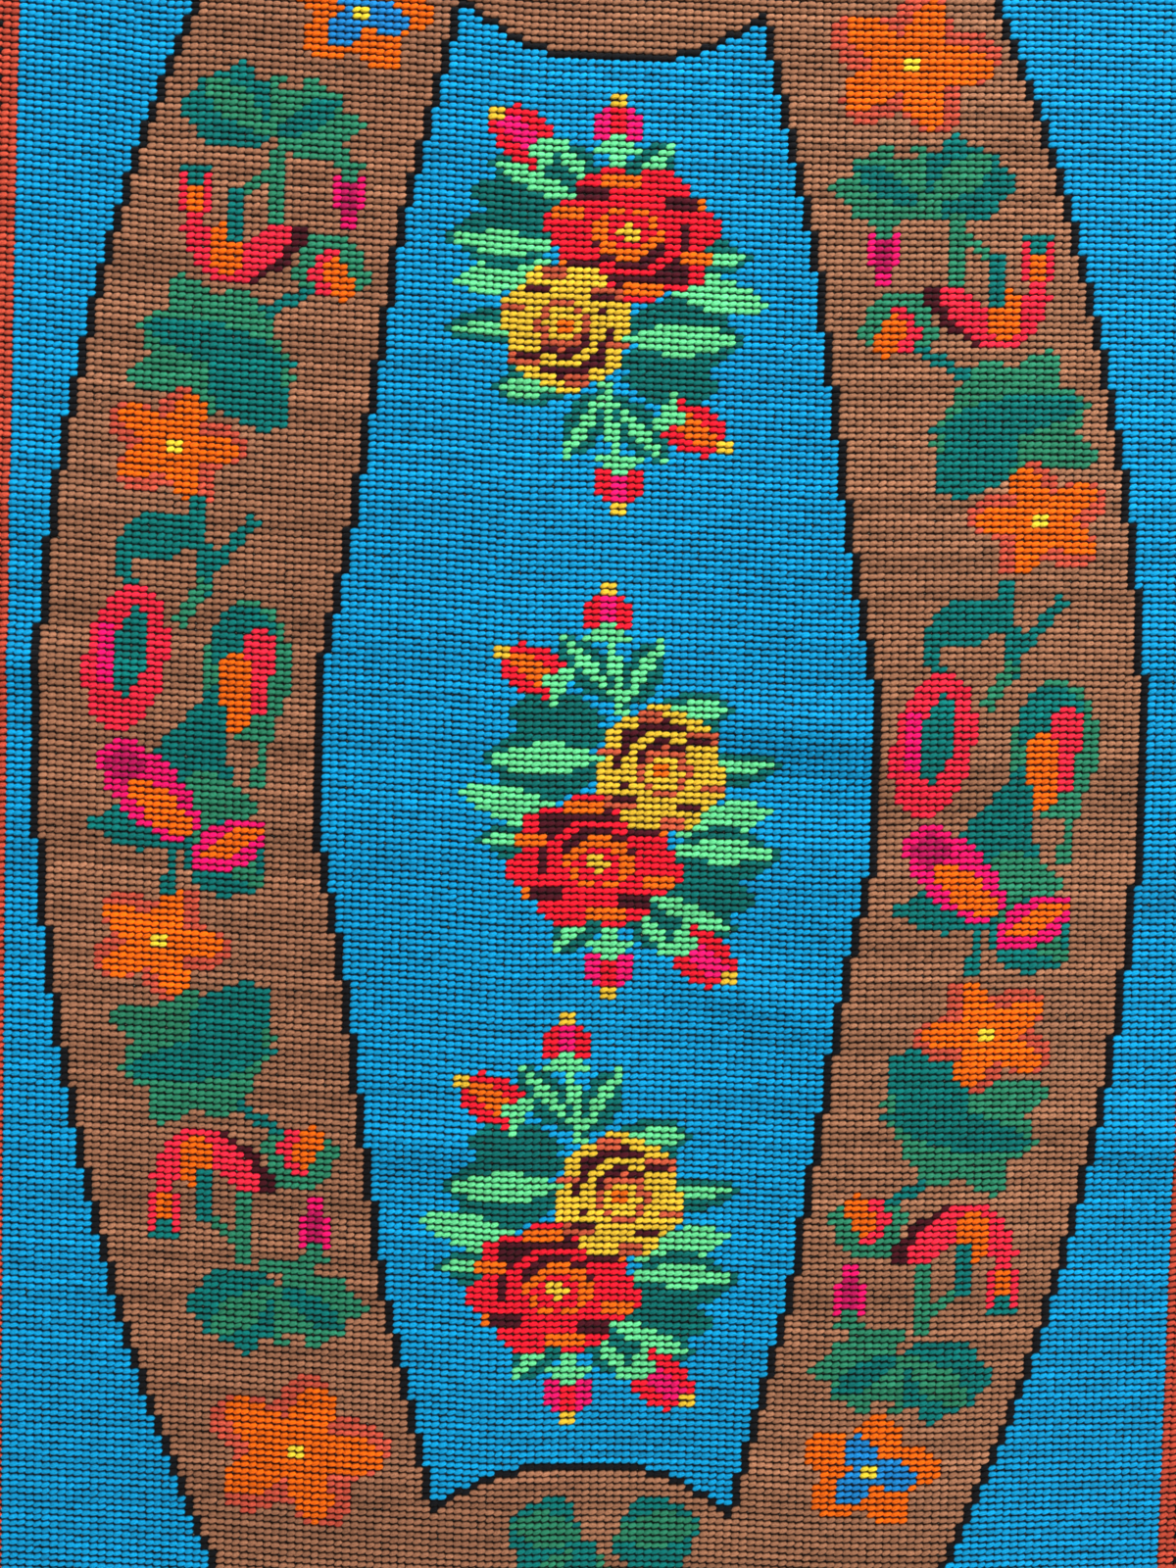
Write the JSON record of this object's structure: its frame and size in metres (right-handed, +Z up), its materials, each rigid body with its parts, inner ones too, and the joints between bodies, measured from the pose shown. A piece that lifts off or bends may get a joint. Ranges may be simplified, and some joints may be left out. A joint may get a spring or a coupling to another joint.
{
  "type": "cross-stitch wall hanging",
  "caption": "Upright wool cross-stitch wall hanging: flower ring on blue ground, rose sprays in the middle, toothed border, soft folds.",
  "frame": {"origin": "middle of the top edge, half way through the cloth", "axes": "+Z up the hanging, +X to its right as it is looked at, -Y out of its worked side"},
  "size_m": [0.728, 0.0153, 1.3838],
  "materials": {
    "blue_wool": "matte wool cross-stitch",
    "brown_wool": "matte wool cross-stitch",
    "red_wool": "matte wool cross-stitch",
    "black_wool": "matte wool cross-stitch",
    "green_wool": "matte wool cross-stitch",
    "bright_wool": "matte wool cross-stitch",
    "canvas": "plain open cotton canvas"
  },
  "bodies": {
    "root": {"embroidered_cloth": "blue_wool"}
  },
  "joints": []
}
